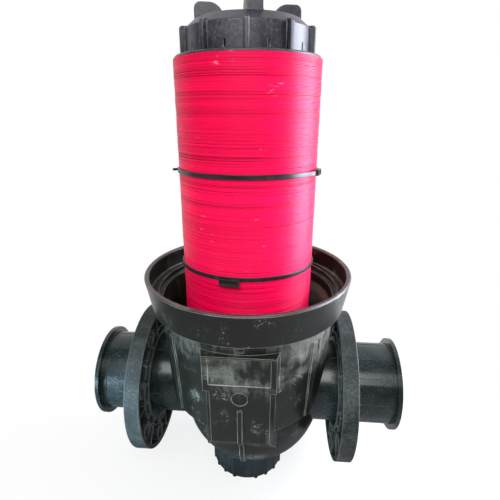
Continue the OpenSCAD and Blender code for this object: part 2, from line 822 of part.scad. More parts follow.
module upper_tie() {
    color([0.08, 0.08, 0.09]) {
        tie(upper_tie_z, upper_head_angle, 0);
        translate([0, 0, upper_tie_z]) at_angle(tail_angle)
            translate([disc_r + slide_gap + tie_t / 2, 0, -tie_w / 2 + 1])
                rotate([0, 0, tail_spring]) cube([tie_tail_l / 2, tie_t, tie_w - 2]);
    }
}

module lower_tie() {
    color([0.08, 0.08, 0.09]) tie(lower_tie_z, lower_head_angle, lower_head_drop);
}

body();
cover_seal();
left_spigot();
right_spigot();
left_spigot_seal();
right_spigot_seal();
left_flange();
right_flange();
bottom_cap();
bottom_cap_gasket();
disc_spine();
spine_base_seal();
filter_discs();
pressure_ring();
wing_cap();
cap_seal();
upper_tie();
lower_tie();
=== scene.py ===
# %% [markdown]
# # An opened irrigation disc filter
#
# The real thing is a farm water filter that was opened for cleaning: a black moulded bowl with two pipe
# stubs, two loose flanges, a drain cap that it stands on, and a tall red stack of rings under a screw cap.
# The solids come from the CAD model and stay where they are. This lesson dresses them: it makes the finishes,
# rounds the edges, builds the single rings and the ties, and then sets up floor, light and camera.

# %% The CAD frame
import json
import math
import random

import bmesh
import bpy
from mathutils import Matrix, Vector

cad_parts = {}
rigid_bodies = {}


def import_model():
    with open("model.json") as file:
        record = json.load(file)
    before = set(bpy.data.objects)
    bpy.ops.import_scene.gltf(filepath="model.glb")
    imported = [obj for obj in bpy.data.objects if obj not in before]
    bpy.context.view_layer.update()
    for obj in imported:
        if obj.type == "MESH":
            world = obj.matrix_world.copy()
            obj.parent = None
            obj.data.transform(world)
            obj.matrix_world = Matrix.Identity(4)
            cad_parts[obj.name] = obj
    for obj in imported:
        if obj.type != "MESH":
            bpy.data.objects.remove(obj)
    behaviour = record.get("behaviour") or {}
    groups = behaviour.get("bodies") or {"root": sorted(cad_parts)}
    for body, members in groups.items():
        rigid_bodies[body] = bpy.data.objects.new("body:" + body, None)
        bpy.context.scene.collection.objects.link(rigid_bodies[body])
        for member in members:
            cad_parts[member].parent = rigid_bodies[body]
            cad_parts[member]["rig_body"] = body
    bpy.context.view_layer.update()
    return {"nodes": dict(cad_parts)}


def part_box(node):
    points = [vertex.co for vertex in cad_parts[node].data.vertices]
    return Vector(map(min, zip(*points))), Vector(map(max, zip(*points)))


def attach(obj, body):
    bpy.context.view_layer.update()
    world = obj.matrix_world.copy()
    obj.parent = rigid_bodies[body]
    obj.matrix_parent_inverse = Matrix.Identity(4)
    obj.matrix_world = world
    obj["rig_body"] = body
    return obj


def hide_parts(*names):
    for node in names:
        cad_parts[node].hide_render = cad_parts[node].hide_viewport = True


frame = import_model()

MM = 0.001

# %% [markdown]
# ## Small helpers for every finish
#
# Colours are picked as the hex values that a paint program shows, so one function turns them to the linear
# numbers that a renderer adds up. Another adds a shader node, sets its values and makes its links in one
# step. Building a material by hand in the node editor would give the same graph; in code it can be read.

# %% Colour and node helpers
def linear(hex_value):
    """Linear red, green, blue and alpha of an sRGB hex colour such as #FF004F."""
    parts = [int(hex_value[i:i + 2], 16) / 255 for i in (1, 3, 5)]
    return [p / 12.92 if p <= 0.04045 else ((p + 0.055) / 1.055) ** 2.4 for p in parts] + [1.0]


def per_mm(size):
    """Scale of a pattern whose features are about this many millimetres wide."""
    return 1.0 / (size * MM)


def add(tree, kind, inputs=None, **settings):
    """Adds one node; an input is either a plain value or the socket that it is linked to."""
    made = tree.nodes.new(kind)
    for name, value in settings.items():
        setattr(made, name, value)
    for key, value in (inputs or {}).items():
        if isinstance(value, bpy.types.NodeSocket):
            tree.links.new(value, made.inputs[key])
        else:
            made.inputs[key].default_value = value
    return made


def new_finish(name):
    """An empty material and its node tree."""
    made = bpy.data.materials.new(name)
    made.use_nodes = True
    made.node_tree.nodes.clear()
    return made, made.node_tree


print("linear of middle grey", [round(v, 3) for v in linear("#808080")])

# %% [markdown]
# ## Worn edges and painted edge highlights
#
# The raised edges of a used moulding are touched first, so they are rubbed pale; the same pale colour also
# stands in for the thin line of light along each edge, so it is partly wear and partly painted highlight. A
# Bevel node gives the normal that the surface would have if its edges were round, and where that departs from
# the plain normal there is an edge. Lines painted on an image would need a map for each piece; the node finds
# them on all.

# %% Edges found from their normals
BEVEL_SAMPLES = 4


def worn_and_highlit_edges(tree, edge_mm, plain_normal, start, full, most):
    """The rounded normal, and how pale the place is painted, as wear and as edge highlight: 0 up to start,
    and most from full on.
    """
    rounded = add(tree, "ShaderNodeBevel", {"Radius": edge_mm * MM}, samples=BEVEL_SAMPLES)
    plain = add(tree, "ShaderNodeNewGeometry")
    facing = add(tree, "ShaderNodeVectorMath", {0: rounded.outputs[0], 1: plain.outputs[plain_normal]},
                 operation="DOT_PRODUCT")
    edges = add(tree, "ShaderNodeMapRange",
                {"Value": facing.outputs["Value"], "From Min": start, "From Max": full, "To Max": most})
    return rounded.outputs[0], edges.outputs[0]


print("edge finder with", BEVEL_SAMPLES, "samples")

# %% [markdown]
# ## Weathered black polyamide
#
# The bowl is moulded from glass-filled polyamide, a tough black plastic. New, it is a dull satin black. After
# seasons outdoors a chalky grey film stays on it in patches, wiped thin in streaks, and whitish scuffs come
# with handling; its pale edges are partly that wear and partly painted highlight. Noise at the sizes of the
# patches, the streaks, the scuffs and the grit gives that without an image, so no seam shows anywhere.
# Heights
# decide where the film lies: much of it just under the rim band and in the sunk field of the front panel,
# little on the band itself, which hands touch. The top of the rim's lip is tinted brown-red as painted red
# bounce light from the rings.

# %% Film of dust on the bowl
RIM_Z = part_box("body")[1].z
BAND_Z = RIM_Z - 44 * MM
FIELD_Z, FIELD_HALF_W, FIELD_HALF_H = 245 * MM, 37.5 * MM, 19.5 * MM
PATCH_MM = 52
STREAK_MM = 9
# Less scale upwards makes the streaks six times as long as they are wide.
STREAK_STRETCH = (1.0, 1.0, 0.16)
FIELD_SHARE, STREAK_SHARE = 0.06, 0.40
FILM_START, FILM_FULL, FILM_MOST = 0.68, 0.92, 0.62


def chalky_film(tree, place, axis):
    """Thickness of the film at a place, from 0 to its most."""
    patches = add(tree, "ShaderNodeTexNoise",
                  {"Vector": place, "Scale": per_mm(PATCH_MM), "Detail": 8, "Roughness": 0.66,
                   "Distortion": 0.3})
    upright = add(tree, "ShaderNodeMapping", {"Vector": place, "Scale": STREAK_STRETCH})
    streaks = add(tree, "ShaderNodeTexNoise",
                  {"Vector": upright.outputs[0], "Scale": per_mm(STREAK_MM), "Detail": 5, "Roughness": 0.6})
    # The film thickens up to the band, and the band is wiped clean.
    under_band = add(tree, "ShaderNodeMapRange",
                     {"Value": axis.outputs["Z"], "From Min": BAND_Z - 80 * MM, "From Max": BAND_Z - 4 * MM,
                      "To Min": -0.10, "To Max": 0.12})
    on_band = add(tree, "ShaderNodeMapRange",
                  {"Value": axis.outputs["Z"], "From Min": BAND_Z - 2 * MM, "From Max": BAND_Z + 1 * MM,
                   "To Min": 0.0, "To Max": -0.42})
    # The right-hand side has more of it than the left.
    rightwards = add(tree, "ShaderNodeMapRange",
                     {"Value": axis.outputs["X"], "From Min": -100 * MM, "From Max": 110 * MM,
                      "To Min": -0.04, "To Max": 0.09})
    # The sunk field keeps a little more than the faces round it.
    wide = add(tree, "ShaderNodeMath", {0: axis.outputs["X"], 1: 0.0, 2: FIELD_HALF_W}, operation="COMPARE")
    high = add(tree, "ShaderNodeMath", {0: axis.outputs["Z"], 1: FIELD_Z, 2: FIELD_HALF_H},
               operation="COMPARE")
    front = add(tree, "ShaderNodeMath", {0: axis.outputs["Y"], 1: 0.0}, operation="LESS_THAN")
    on_panel = add(tree, "ShaderNodeMath", {0: wide.outputs[0], 1: high.outputs[0]}, operation="MULTIPLY")
    field = add(tree, "ShaderNodeMath", {0: on_panel.outputs[0], 1: front.outputs[0]}, operation="MULTIPLY")
    total = patches.outputs["Fac"]
    for part in (under_band, on_band, rightwards):
        total = add(tree, "ShaderNodeMath", {0: total, 1: part.outputs[0]}, operation="ADD").outputs[0]
    for part, share in ((field.outputs[0], FIELD_SHARE), (streaks.outputs["Fac"], STREAK_SHARE)):
        more = add(tree, "ShaderNodeMath", {0: part, 1: share, 2: total}, operation="MULTIPLY_ADD")
        total = more.outputs[0]
    film = add(tree, "ShaderNodeMapRange",
               {"Value": total, "From Min": FILM_START, "From Max": FILM_FULL, "To Max": FILM_MOST},
               interpolation_type="SMOOTHSTEP")
    return film.outputs[0]


print("rim band from", round(BAND_Z / MM, 1), "to", round(RIM_Z / MM, 1), "mm")

# %% Scuffs on the bowl
GROUP_MM = 26
SCUFF_MM = 4
SCUFF_MOST = 0.8


def scuff_marks(tree, place):
    """The loose groups that scuffs come in, and the short whitish scuffs themselves."""
    groups = add(tree, "ShaderNodeTexNoise", {"Vector": place, "Scale": per_mm(GROUP_MM), "Detail": 2})
    marks = add(tree, "ShaderNodeTexNoise",
                {"Vector": place, "Scale": per_mm(SCUFF_MM), "Detail": 6, "Roughness": 0.7,
                 "Distortion": 1.6})
    both = add(tree, "ShaderNodeMath", {0: groups.outputs["Fac"], 1: 0.7, 2: marks.outputs["Fac"]},
               operation="MULTIPLY_ADD")
    scuffs = add(tree, "ShaderNodeMapRange",
                 {"Value": both.outputs[0], "From Min": 0.97, "From Max": 1.12, "To Max": SCUFF_MOST})
    return groups.outputs["Fac"], scuffs.outputs[0]


print("scuffs of", SCUFF_MM, "mm in groups of", GROUP_MM, "mm")

# %% Finish of the bowl
GRIT_MM = 1.6
GRIT_DEPTH = 0.4 * MM
LIP_H = 4 * MM


def weathered_polyamide(name, black, lip_red_bounce, chalk, edge_wear_and_highlight, edge_mm):
    """Black moulded skin under a dull film of dust, with scuffs, pale edges of wear and painted highlight,
    and a lip tinted brown-red as painted red bounce light.
    """
    finish, tree = new_finish(name)
    place = add(tree, "ShaderNodeTexCoord").outputs["Object"]
    axis = add(tree, "ShaderNodeSeparateXYZ", {0: place})
    grit = add(tree, "ShaderNodeTexNoise",
               {"Vector": place, "Scale": per_mm(GRIT_MM), "Detail": 5, "Roughness": 0.8})
    grain = add(tree, "ShaderNodeMapRange",
                {"Value": grit.outputs["Fac"], "From Min": 0.36, "From Max": 0.62,
                 "To Min": 0.25, "To Max": 1.0})
    dust = add(tree, "ShaderNodeMath", {0: chalky_film(tree, place, axis), 1: grain.outputs[0]},
               operation="MULTIPLY")
    groups, scuffs = scuff_marks(tree, place)
    pale = add(tree, "ShaderNodeMath", {0: dust.outputs[0], 1: scuffs}, operation="MAXIMUM")
    # Pale edges: partly rubbed wear, partly a painted highlight along each edge.
    rounded, edges = worn_and_highlit_edges(tree, edge_mm, "Normal", start=0.99, full=0.86, most=0.9)
    handled = add(tree, "ShaderNodeMapRange",
                  {"Value": groups, "From Min": 0.40, "From Max": 0.60, "To Min": 0.50, "To Max": 1.0})
    edge_wear_and_highlight_share = add(tree, "ShaderNodeMath", {0: edges, 1: handled.outputs[0]}, operation="MULTIPLY")
    # Painted red bounce light: the rim's lip is tinted brown-red, as if lit by the red rings next to it.
    lip = add(tree, "ShaderNodeMapRange",
              {"Value": axis.outputs["Z"], "From Min": RIM_Z - LIP_H, "From Max": RIM_Z, "To Max": 0.8})
    colour = linear(black)
    for share, tint in ((lip, lip_red_bounce), (pale, chalk), (edge_wear_and_highlight_share, edge_wear_and_highlight)):
        layer = add(tree, "ShaderNodeMix", {"Factor": share.outputs[0], "A": colour, "B": linear(tint)},
                    data_type="RGBA")
        colour = layer.outputs["Result"]
    gloss = add(tree, "ShaderNodeMapRange", {"Value": dust.outputs[0], "To Min": 0.34, "To Max": 0.80})
    relief = add(tree, "ShaderNodeBump",
                 {"Height": grit.outputs["Fac"], "Strength": 0.12, "Distance": GRIT_DEPTH, "Normal": rounded})
    skin = add(tree, "ShaderNodeBsdfPrincipled",
               {"Base Color": colour, "Roughness": gloss.outputs[0], "IOR": 1.53, "Specular IOR Level": 0.4,
                "Normal": relief.outputs[0]})
    add(tree, "ShaderNodeOutputMaterial", {"Surface": skin.outputs[0]})
    return finish


# Weathered polyamide: satin black where it is bare, flat and chalky where the film lies.
# Its lip takes a painted red bounce, and its pale edges are wear and painted highlight.
bowl_finish = weathered_polyamide("weathered_polyamide", black="#14150F", lip_red_bounce="#3B2529",
                                  chalk="#85877D", edge_wear_and_highlight="#B0B5B0", edge_mm=1.3)
print("made", bowl_finish.name)

# %% [markdown]
# ## The other black plastics
#
# The pipe stubs and the drain cap are smoother mouldings with a blue-black skin. The flanges are dull, sandy
# to the touch and greyer. The screw cap is a cool charcoal. All are the same kind of surface: a base colour
# that drifts a little, some dust, edges painted pale as rubbed wear and as painted highlight, a roughness
# and a fine grain. One function with the numbers that differ makes them all, so they stay a family; a graph
# drawn for each would drift apart.

# %% Finish of the smaller mouldings
DRIFT_MM = 35
SPECK_MM = 2.6
DUST_DULLS = 0.45


def moulded_plastic(name, low, high, dust, dust_share, rough, shine, grain_mm, grain_depth, edge_pale_and_highlight,
                    edge_mm=1.0):
    """Black plastic between two tones, with a share of dust and with pale edges, partly rubbed wear and
    partly painted highlight.
    """
    finish, tree = new_finish(name)
    place = add(tree, "ShaderNodeTexCoord").outputs["Object"]
    drift = add(tree, "ShaderNodeTexNoise",
                {"Vector": place, "Scale": per_mm(DRIFT_MM), "Detail": 4, "Roughness": 0.6})
    specks = add(tree, "ShaderNodeTexNoise",
                 {"Vector": place, "Scale": per_mm(SPECK_MM), "Detail": 5, "Roughness": 0.7})
    grain = add(tree, "ShaderNodeTexNoise", {"Vector": place, "Scale": per_mm(grain_mm), "Detail": 2})
    tone = add(tree, "ShaderNodeMapRange",
               {"Value": drift.outputs["Fac"], "From Min": 0.38, "From Max": 0.62})
    base = add(tree, "ShaderNodeMix", {"Factor": tone.outputs[0], "A": linear(low), "B": linear(high)},
               data_type="RGBA")
    both = add(tree, "ShaderNodeMath", {0: specks.outputs["Fac"], 1: 2.0, 2: drift.outputs["Fac"]},
               operation="MULTIPLY_ADD")
    film = add(tree, "ShaderNodeMapRange",
               {"Value": both.outputs[0], "From Min": 1.45, "From Max": 1.90, "To Max": dust_share})
    # Pale edges: partly rubbed wear, partly a painted highlight along each edge.
    rounded, edges = worn_and_highlit_edges(tree, edge_mm, "True Normal", start=0.985, full=0.88, most=edge_pale_and_highlight)
    pale = add(tree, "ShaderNodeMath", {0: film.outputs[0], 1: edges}, operation="MAXIMUM")
    colour = add(tree, "ShaderNodeMix",
                 {"Factor": pale.outputs[0], "A": base.outputs["Result"], "B": linear(dust)},
                 data_type="RGBA")
    gloss = add(tree, "ShaderNodeMapRange",
                {"Value": film.outputs[0], "To Min": rough, "To Max": rough + DUST_DULLS})
    relief = add(tree, "ShaderNodeBump",
                 {"Height": grain.outputs["Fac"], "Strength": 0.25, "Distance": grain_depth * MM,
                  "Normal": rounded})
    skin = add(tree, "ShaderNodeBsdfPrincipled",
               {"Base Color": colour.outputs["Result"], "Roughness": gloss.outputs[0], "IOR": 1.5,
                "Specular IOR Level": shine, "Normal": relief.outputs[0]})
    add(tree, "ShaderNodeOutputMaterial", {"Surface": skin.outputs[0]})
    return finish


# Smooth polypropylene pipe stubs: a hard blue-black skin that mirrors the light in soft streaks.
stub_finish = moulded_plastic(
    "smooth_polypropylene", low="#0E1617", high="#162021", dust="#59625F", dust_share=0.14, rough=0.24,
    shine=0.5, grain_mm=2.0, grain_depth=0.05, edge_pale_and_highlight=0.25)
# Glass-filled polypropylene flanges: dull, sandy and greyed by the sun.
flange_finish = moulded_plastic(
    "glass_filled_polypropylene", low="#191D1D", high="#222726", dust="#7C8481", dust_share=0.24, rough=0.60,
    shine=0.35, grain_mm=1.4, grain_depth=0.25, edge_pale_and_highlight=0.80, edge_mm=1.4)
print("made", stub_finish.name, "and", flange_finish.name)

# %% Finishes of caps, spine, ties and seals
# The drain cap is polypropylene too, but kept damp and clean under the bowl: darker, bluer and smoother.
drain_finish = moulded_plastic(
    "damp_polypropylene", low="#0F1617", high="#182123", dust="#4E5856", dust_share=0.22, rough=0.40,
    shine=0.45, grain_mm=1.6, grain_depth=0.12, edge_pale_and_highlight=0.40)
# Satin polyamide screw cap: cool charcoal, its ribs painted a little pale, as rubbed wear and as painted
# highlight.
wing_finish = moulded_plastic(
    "satin_polyamide", low="#211F25", high="#2E2C34", dust="#787780", dust_share=0.25, rough=0.34,
    shine=0.5, grain_mm=1.2, grain_depth=0.10, edge_pale_and_highlight=0.45)
# Spine inside the rings: plain black polyamide, hardly lit.
spine_finish = moulded_plastic(
    "black_polyamide", low="#101010", high="#181818", dust="#4A4A48", dust_share=0.20, rough=0.45,
    shine=0.4, grain_mm=1.6, grain_depth=0.10, edge_pale_and_highlight=0.20)
# Nylon ties: smooth black with a thin waxy shine.
tie_finish = moulded_plastic(
    "black_nylon", low="#131315", high="#1E1D20", dust="#5A5558", dust_share=0.20, rough=0.32,
    shine=0.5, grain_mm=1.0, grain_depth=0.05, edge_pale_and_highlight=0.45, edge_mm=0.5)
# Nitrile rubber seals: deep dull black with a dusty bloom.
seal_finish = moulded_plastic(
    "nitrile_rubber", low="#0D0D0D", high="#161616", dust="#3E3E3C", dust_share=0.30, rough=0.62,
    shine=0.3, grain_mm=1.2, grain_depth=0.06, edge_pale_and_highlight=0.15, edge_mm=0.4)
print("made", [m.name for m in (drain_finish, wing_finish, spine_finish, tie_finish, seal_finish)])

# %% [markdown]
# ## Red polypropylene for the rings
#
# Filter rings are colour-coded; these are crimson polypropylene, moulded thin and slightly waxy. The eye sees
# a strong even red with a broad pink sheen, rings a shade lighter or darker than their neighbours, and short
# pale rubs where something scraped along the stack. A material for each ring would be hundreds of materials,
# so each ring carries its tone as a number on its mesh, and one material reads it. Besides the random tone,
# that number holds painted light: rings low in the stack, which the bowl shades, are painted brighter.

# %% Finish of the rings
RUB_MM = 4.5
# Less scale sideways makes the rubs three times as long as they are high.
RUB_STRETCH = (0.32, 0.32, 1.0)
RUB_ZONE_MM = 38


def red_polypropylene(name, deep, bright, rub, sheen):
    """Waxy red between two tones, read from each ring's tone number, which also holds painted light, with
    pale rubs.
    """
    finish, tree = new_finish(name)
    place = add(tree, "ShaderNodeTexCoord").outputs["Object"]
    tone = add(tree, "ShaderNodeAttribute", attribute_name="ring_tone", attribute_type="GEOMETRY")
    base = add(tree, "ShaderNodeMix",
               {"Factor": tone.outputs["Fac"], "A": linear(deep), "B": linear(bright)}, data_type="RGBA")
    along = add(tree, "ShaderNodeMapping", {"Vector": place, "Scale": RUB_STRETCH})
    rubs = add(tree, "ShaderNodeTexNoise",
               {"Vector": along.outputs[0], "Scale": per_mm(RUB_MM), "Detail": 4, "Roughness": 0.65})
    zones = add(tree, "ShaderNodeTexNoise", {"Vector": place, "Scale": per_mm(RUB_ZONE_MM), "Detail": 2})
    both = add(tree, "ShaderNodeMath", {0: zones.outputs["Fac"], 1: 0.55, 2: rubs.outputs["Fac"]},
               operation="MULTIPLY_ADD")
    scraped = add(tree, "ShaderNodeMapRange",
                  {"Value": both.outputs[0], "From Min": 0.99, "From Max": 1.10, "To Max": 0.45})
    colour = add(tree, "ShaderNodeMix",
                 {"Factor": scraped.outputs[0], "A": base.outputs["Result"], "B": linear(rub)},
                 data_type="RGBA")
    skin = add(tree, "ShaderNodeBsdfPrincipled",
               {"Base Color": colour.outputs["Result"], "Roughness": 0.40, "IOR": 1.49,
                "Specular IOR Level": 0.30, "Specular Tint": linear(sheen)})
    add(tree, "ShaderNodeOutputMaterial", {"Surface": skin.outputs[0]})
    return finish


# Red polypropylene: an even crimson whose waxy skin spreads each lamp into a broad cool-pink sheen.
ring_finish = red_polypropylene("red_polypropylene", deep="#B80034", bright="#FF004F", rub="#FFB4CC",
                                sheen="#E4D6FF")
print("made", ring_finish.name)

# %% [markdown]
# ## Flanges and caps with rounded edges
#
# A moulded piece never has a knife edge, and a thin line of light along each edge is what tells the eye that.
# The CAD solids are sharp, so the flanges, the caps and the pressure ring each get a copy: its doubled
# corners are joined, flat facets are dissolved into whole faces, and a Bevel modifier rounds every edge that
# is sharper than a set angle. Modelling them again by hand would give the same forms with more mistakes.

# %% Rounded copies of the CAD solids
JOIN_DISTANCE = 0.005 * MM
FLAT_WITHIN = math.radians(0.6)
SHARP_FROM = math.radians(32)
ROUND_SEGMENTS = 2


def rounded_copy(node, piece_name, finish, round_mm):
    """A copy of a CAD node with rounded edges, which stands for the node and rides on its body."""
    source = frame["nodes"][node]
    mesh = source.data.copy()
    work = bmesh.new()
    work.from_mesh(mesh)
    bmesh.ops.remove_doubles(work, verts=work.verts, dist=JOIN_DISTANCE)
    bmesh.ops.dissolve_limit(work, angle_limit=FLAT_WITHIN, verts=work.verts, edges=work.edges)
    work.to_mesh(mesh)
    work.free()
    if "custom_normal" in mesh.attributes:
        mesh.attributes.remove(mesh.attributes["custom_normal"])
    piece = bpy.data.objects.new(piece_name, mesh)
    bpy.context.scene.collection.objects.link(piece)
    mesh.materials.clear()
    mesh.materials.append(finish)
    mesh.shade_smooth()
    mesh.set_sharp_from_angle(angle=SHARP_FROM)
    rounding = piece.modifiers.new("moulded_edges", "BEVEL")
    rounding.width = round_mm * MM
    rounding.segments = ROUND_SEGMENTS
    rounding.limit_method = "ANGLE"
    rounding.angle_limit = SHARP_FROM
    rounding.use_clamp_overlap = False
    rounding.harden_normals = False
    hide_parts(node)
    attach(piece, source["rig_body"])
    print(piece_name, len(mesh.polygons), "faces before rounding")


rounded_copy("left_flange", "left_loose_flange", flange_finish, 0.8)
rounded_copy("right_flange", "right_loose_flange", flange_finish, 0.8)
rounded_copy("bottom_cap", "ribbed_drain_cap", drain_finish, 0.3)
rounded_copy("pressure_ring", "stack_pressure_ring", wing_finish, 0.5)
rounded_copy("wing_cap", "lugged_screw_cap", wing_finish, 0.8)

# %% [markdown]
# ## Solids that keep their CAD mesh
#
# The bowl, the stubs, the spine and the seals are shown as they come from the CAD model. On the bowl, ribs,
# ports and panel run into each other in many small faces, where a Bevel modifier can tear, so its edges are
# rounded in the finish, by the normal from the Bevel node. The spine and the seals hardly show.

# %% Finishes on the CAD solids
SEALS = ("cover_seal", "left_spigot_seal", "right_spigot_seal", "bottom_cap_gasket", "spine_base_seal",
         "cap_seal")


def dress(node, finish):
    """Gives a CAD node its finish; the mesh itself stays as it is."""
    solid = frame["nodes"][node]
    solid.data.materials.clear()
    solid.data.materials.append(finish)


dress("body", bowl_finish)
dress("disc_spine", spine_finish)
for node in ("left_spigot", "right_spigot"):
    dress(node, stub_finish)
for node in SEALS:
    dress(node, seal_finish)
print("dressed bowl, spine, stubs and", len(SEALS), "seals")

# %% [markdown]
# ## The stack of rings
#
# The cartridge carries a few hundred thin rings, pressed together by the screw cap. They never stack
# perfectly: some sit a little to one side, some are a hair smaller, and here and there a gap opens on one
# side because the rings above it lean. Those uneven lines are what makes the stack look like a stack. A
# smooth cylinder with a bump texture would lose them at the outline, so every ring is real geometry: a thin
# band with broken edges, with its own place, lean and tone from a seeded random row. A land further in fills
# the gap to the next ring, so that no daylight shows through. The ties cut the stack into three pieces.

# %% Places of the rings
STACK_LOW, STACK_HIGH = (corner.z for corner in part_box("filter_discs"))
RING_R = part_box("filter_discs")[1].x
RING_HOLE_R = 59 * MM
RING_COUNT = 278
# Sizes in millimetres, before the stack is fitted to its height.
RING_THICK = 1.25
TIGHT_GAP = (0.01, 0.05)
OPEN_GAP = (0.20, 0.65)
MOST_LEAN = 0.45
# Share of the rings with an open gap, and how far, in radians, a lean that turns back may miss its way.
OPEN_CHANCE, LEAN_MISS = 0.24, 0.6
# The first rings lie flat on the base plate, and over the last ones the lean dies out under the cap.
FIRST_FLAT, LAST_LEVEL, LAST_FLAT = 2, 6, 2
dice = random.Random(41)


def ring_heights():
    """Bottom height, lean and land of each ring from the bottom up, and the height of them all."""
    rows, height, lean = [], 0.0, Vector((0.0, 0.0))
    for i in range(RING_COUNT):
        rows.append({"z": height, "lean": lean.copy()})
        height += RING_THICK
        gap, opens = dice.uniform(*TIGHT_GAP), 0.0
        if dice.random() < OPEN_CHANCE and FIRST_FLAT < i < RING_COUNT - LAST_LEVEL:
            opens = dice.uniform(*OPEN_GAP)
            turn = dice.uniform(0, math.tau)
            if lean.length > MOST_LEAN:
                turn = math.atan2(-lean.y, -lean.x) + dice.uniform(-LEAN_MISS, LEAN_MISS)
            lean = lean + Vector((math.cos(turn), math.sin(turn))) * opens / 2
        elif i >= RING_COUNT - LAST_LEVEL:
            opens = lean.length / 2
            lean = lean * 0.5 if i < RING_COUNT - LAST_FLAT else Vector((0.0, 0.0))
        rows[-1]["land"] = (gap + opens) * MM if i < RING_COUNT - LAST_LEVEL else 0.0
        height += gap + opens / 2
    return rows, height


rows, loose_height = ring_heights()
print(len(rows), "rings,", round(loose_height, 1), "mm high before the fit")

# %% Size, side step and tone of the rings
# Millimetres that a ring's radius stays under the stack's; one in fourteen is clearly smaller.
RING_PLAY, USUAL_BY, SMALL_BY, SMALL_CHANCE = 0.12, (0.0, 0.16), (0.35, 0.8), 0.07
# A ring keeps most of the side step of the ring below it.
STEP_KEEPS, STEP_SPREAD = 0.85, 0.05
# Painted light: rings low in the stack, which the bowl shades, are painted brighter than those near the cap.
TONE_TOP, PAINTED_LIGHT_GAIN, TONE_SPREAD = 0.28, 0.5, 0.22
fit = (STACK_HIGH - STACK_LOW) / loose_height
step = Vector((0.0, 0.0))
for row in rows:
    lowness = 1.0 - row["z"] / loose_height
    step = step * STEP_KEEPS + Vector((dice.gauss(0, STEP_SPREAD), dice.gauss(0, STEP_SPREAD)))
    smaller = dice.uniform(*SMALL_BY) if dice.random() < SMALL_CHANCE else dice.uniform(*USUAL_BY)
    tone = dice.gauss(TONE_TOP + PAINTED_LIGHT_GAIN * lowness, TONE_SPREAD)
    row.update(z=STACK_LOW + row["z"] * fit, thick=RING_THICK * fit, lean=row["lean"] * MM,
               r=RING_R - (RING_PLAY + smaller) * MM, step=step * MM, tone=min(1.0, max(0.0, tone)))
print("each ring is", round(rows[0]["thick"] / MM, 3), "mm thick")

# %% Rings as mesh
RING_SIDES = 80
BROKEN_EDGE = 0.2 * MM
LAND_DEPTH = 2.5 * MM
RING_SHARP_FROM = math.radians(40)


def ring_stack(piece_name, members):
    """One mesh with a closed band for each ring of the list."""
    points, faces, tones = [], [], []
    for row in members:
        thick, r, top = row["thick"], row["r"], row["thick"] + row["land"]
        outline = [(RING_HOLE_R, 0), (r - BROKEN_EDGE, 0), (r, BROKEN_EDGE), (r, thick - BROKEN_EDGE),
                   (r - BROKEN_EDGE, thick), (r - LAND_DEPTH, thick), (r - LAND_DEPTH, top),
                   (RING_HOLE_R, top)]
        first, count = len(points), len(outline)
        for k in range(RING_SIDES):
            angle = math.tau * k / RING_SIDES
            c, s = math.cos(angle), math.sin(angle)
            rise = (row["lean"].x * c + row["lean"].y * s) / RING_R
            for d, h in outline:
                points.append((row["step"].x + c * d, row["step"].y + s * d, row["z"] + h + rise * d))
            here, there = first + k * count, first + (k + 1) % RING_SIDES * count
            for j in range(count):
                after = (j + 1) % count
                faces.append((here + j, there + j, there + after, here + after))
        tones += [row["tone"]] * (RING_SIDES * count)
    mesh = bpy.data.meshes.new(piece_name)
    mesh.from_pydata(points, [], faces)
    mesh.attributes.new("ring_tone", "FLOAT", "POINT").data.foreach_set("value", tones)
    mesh.materials.append(ring_finish)
    mesh.shade_smooth()
    mesh.set_sharp_from_angle(angle=RING_SHARP_FROM)
    piece = bpy.data.objects.new(piece_name, mesh)
    bpy.context.scene.collection.objects.link(piece)
    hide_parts("filter_discs")
    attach(piece, "cartridge")
    print(piece_name, len(members), "rings,", 2 * len(faces), "triangles")


tie_heights = [sum(corner.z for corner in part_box(node)) / 2 for node in ("lower_tie", "upper_tie")]
ring_stack("rings_below_lower_tie", [r for r in rows if r["z"] < tie_heights[0]])
ring_stack("rings_between_ties", [r for r in rows if tie_heights[0] <= r["z"] < tie_heights[1]])
ring_stack("rings_above_upper_tie", [r for r in rows if r["z"] >= tie_heights[1]])

# %% [markdown]
# ## The ties
#
# Two nylon ties keep the rings together while the cartridge is out. A tie is one long flat strip with a block
# at its end: the strip goes round and through a window in the block, and the upper one's free end stays out.
# The strip is swept as a ring with broken corners; it hangs lower at the back, and it stands off where it
# climbs into the block, because the nylon is stiff. The block is a box with rounded edges and a sunk window.
# A curve with a bevel profile could do the strip too, but here strip and block share the same numbers.

# %% Strip of a tie
STRAP_W, STRAP_T = 5.0 * MM, 1.4 * MM
STRAP_R = RING_R + 0.3 * MM
STRAP_CORNER = 0.35 * MM
STRAP_SIDES = 160
# Angle, in radians, over which the strip stands off next to its block.
LIFT_SPAN = 0.16


def on_stack(angle, r, z):
    """Point at an angle from the front, to the right, at a radius and a height."""
    return Vector((math.sin(angle) * r, -math.cos(angle) * r, z))


def strip_ring(work, z, droop, head_angle, lift):
    """Flat strip round the stack, higher in front by droop; it stands off by lift next to the block."""
    corner, low, high = STRAP_CORNER, -STRAP_W / 2, STRAP_W / 2
    section = [(0, low + corner), (corner, low), (STRAP_T - corner, low), (STRAP_T, low + corner),
               (STRAP_T, high - corner), (STRAP_T - corner, high), (corner, high), (0, high - corner)]
    count, rings = len(section), []
    for k in range(STRAP_SIDES):
        angle = math.tau * k / STRAP_SIDES
        away = (angle - head_angle + math.pi) % math.tau - math.pi
        off = lift * math.exp(-((away + LIFT_SPAN) / LIFT_SPAN) ** 2 * 2.0)
        level = z + droop * math.cos(angle)
        rings.append([work.verts.new(on_stack(angle, STRAP_R + off + d, level + h)) for d, h in section])
    for k in range(STRAP_SIDES):
        here, there = rings[k], rings[(k + 1) % STRAP_SIDES]
        for j in range(count):
            after = (j + 1) % count
            work.faces.new((here[j], here[after], there[after], there[j]))


